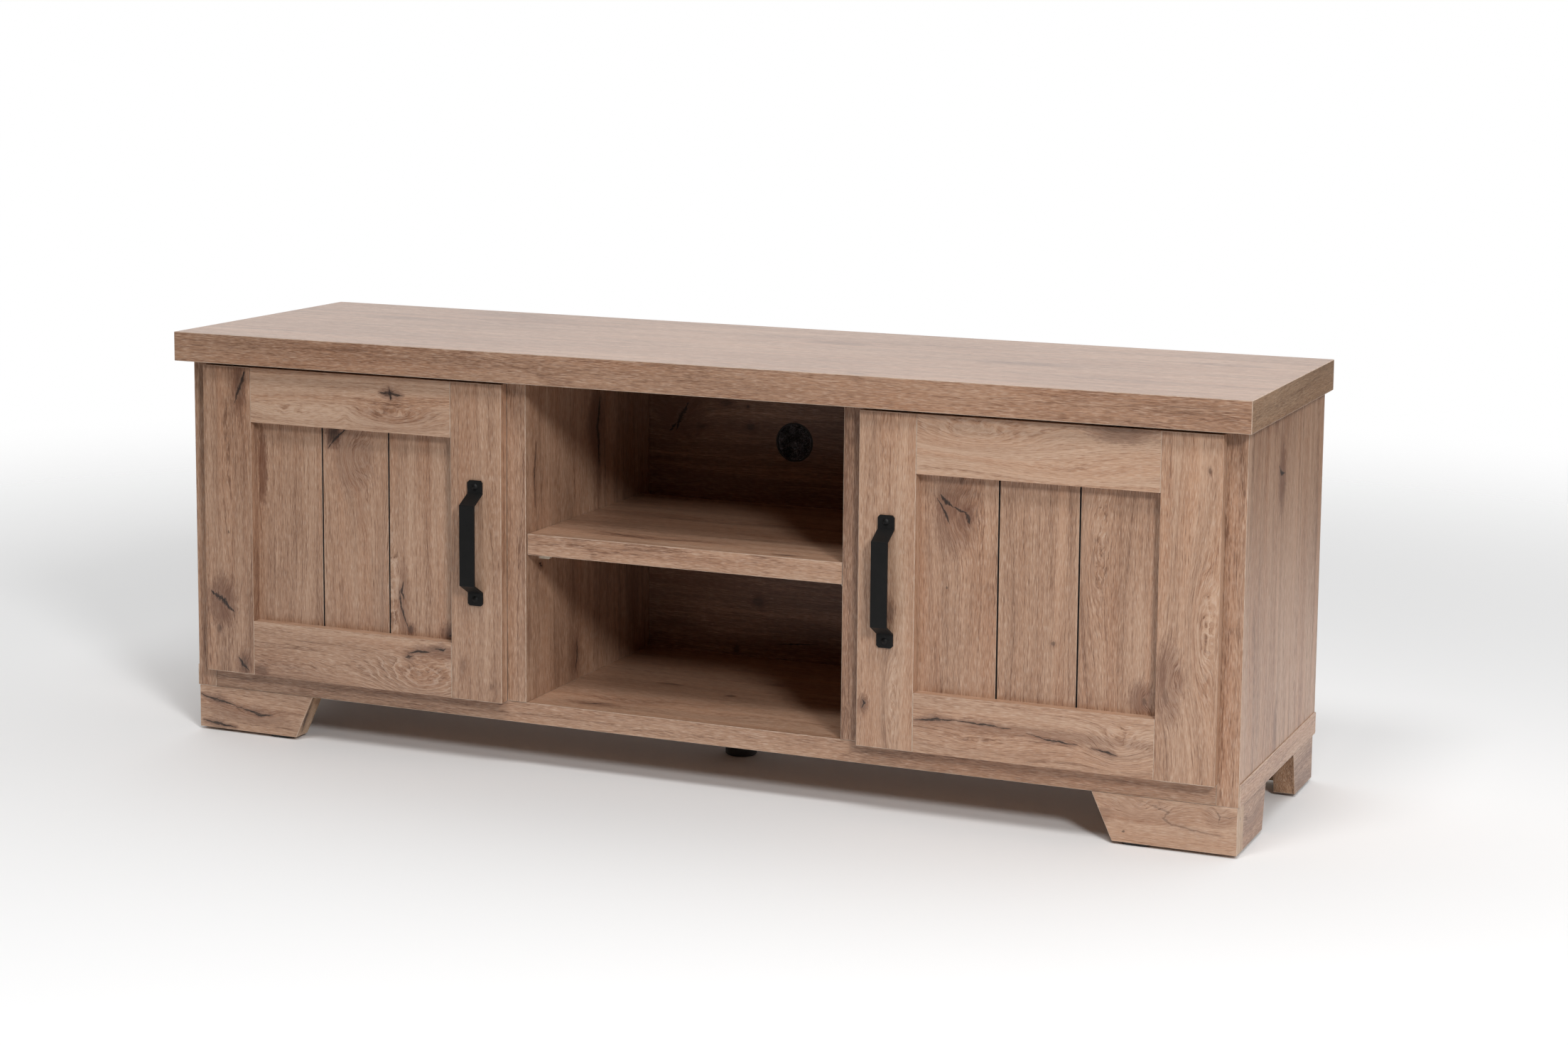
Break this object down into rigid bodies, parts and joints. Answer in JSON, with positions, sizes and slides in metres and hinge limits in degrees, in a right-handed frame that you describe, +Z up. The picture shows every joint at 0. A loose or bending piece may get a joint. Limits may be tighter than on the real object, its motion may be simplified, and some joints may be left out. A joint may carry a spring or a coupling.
{
  "type": "media cabinet",
  "caption": "Low media cabinet with framed plank doors either side of an open shelved bay, an overhanging top and splayed board feet.",
  "frame": {"origin": "on the floor, at the centre of the whole outline (the handles' grips are its foremost line)", "axes": "+X to the right seen from the front, along the width; +Y from the doors to the back panel; +Z up"},
  "size_m": [1.5, 0.439, 0.561],
  "materials": {
    "oak": "oak-effect laminate, open pores, matt",
    "oak_edge": "oak-effect edging, matt",
    "raw_wood": "plain sawn softwood and beech",
    "black_metal": "matt black powder coat",
    "steel": "nickel-plated steel",
    "black_plastic": "moulded black plastic",
    "black_bristle": "soft nylon bristles",
    "cream_plastic": "moulded cream plastic"
  },
  "bodies": {
    "cabinet": {"top_panel": "oak", "side_left": "oak", "side_right": "oak", "side_band_left": "oak_edge", "side_band_right": "oak_edge", "divider_left": "oak", "divider_right": "oak", "bottom_board": "oak", "back_panel": "oak", "shelf_middle": "oak", "shelf_left": "oak", "shelf_right": "oak", "shelf_supports_middle": "cream_plastic", "shelf_supports_sides": "cream_plastic", "foot_front_board_left": "oak", "foot_front_board_right": "oak", "foot_side_board_left": "oak", "foot_side_board_right": "oak", "foot_rear_board_left": "oak", "foot_rear_board_right": "oak", "foot_blocks": "raw_wood", "foot_glides": "black_plastic", "centre_foot_sleeve": "black_plastic", "hinge_arms_left": "steel", "hinge_arms_right": "steel", "hinge_plates_left": "steel", "hinge_plates_right": "steel", "hinge_plate_screws": "steel", "cam_locks": "steel", "cam_bolts": "steel", "top_dowels": "raw_wood", "base_dowels": "raw_wood", "base_screws": "steel", "back_panel_screws": "steel", "foot_dowels": "raw_wood", "foot_screws": "steel", "centre_foot_screws": "steel", "cable_ring": "black_plastic", "cable_brush": "black_bristle"},
    "door_left": {"door_stile_outer_left": "oak", "door_stile_inner_left": "oak", "door_rail_top_left": "oak", "door_rail_bottom_left": "oak", "door_panel_left": "oak", "door_handle_left": "black_metal", "handle_screws_left": "black_metal", "hinge_cups_left": "steel", "cup_screws_left": "steel"},
    "door_right": {"door_stile_outer_right": "oak", "door_stile_inner_right": "oak", "door_rail_top_right": "oak", "door_rail_bottom_right": "oak", "door_panel_right": "oak", "door_handle_right": "black_metal", "handle_screws_right": "black_metal", "hinge_cups_right": "steel", "cup_screws_right": "steel"},
    "centre_foot": {"centre_foot": "black_plastic"}
  },
  "joints": [
    {"name": "door_left_hinge", "type": "hinge", "parent": "cabinet", "child": "door_left", "pos_m": [-0.7136, -0.1945, 0.3], "axis": [0, 0, -1], "range_deg": [0, 110]},
    {"name": "door_right_hinge", "type": "hinge", "parent": "cabinet", "child": "door_right", "pos_m": [0.7136, -0.1945, 0.3], "axis": [0, 0, 1], "range_deg": [0, 110]},
    {"name": "centre_foot_thread", "type": "slide", "parent": "cabinet", "child": "centre_foot", "axis": [0, 0, 1], "range_m": [0, 0.008]}
  ]
}
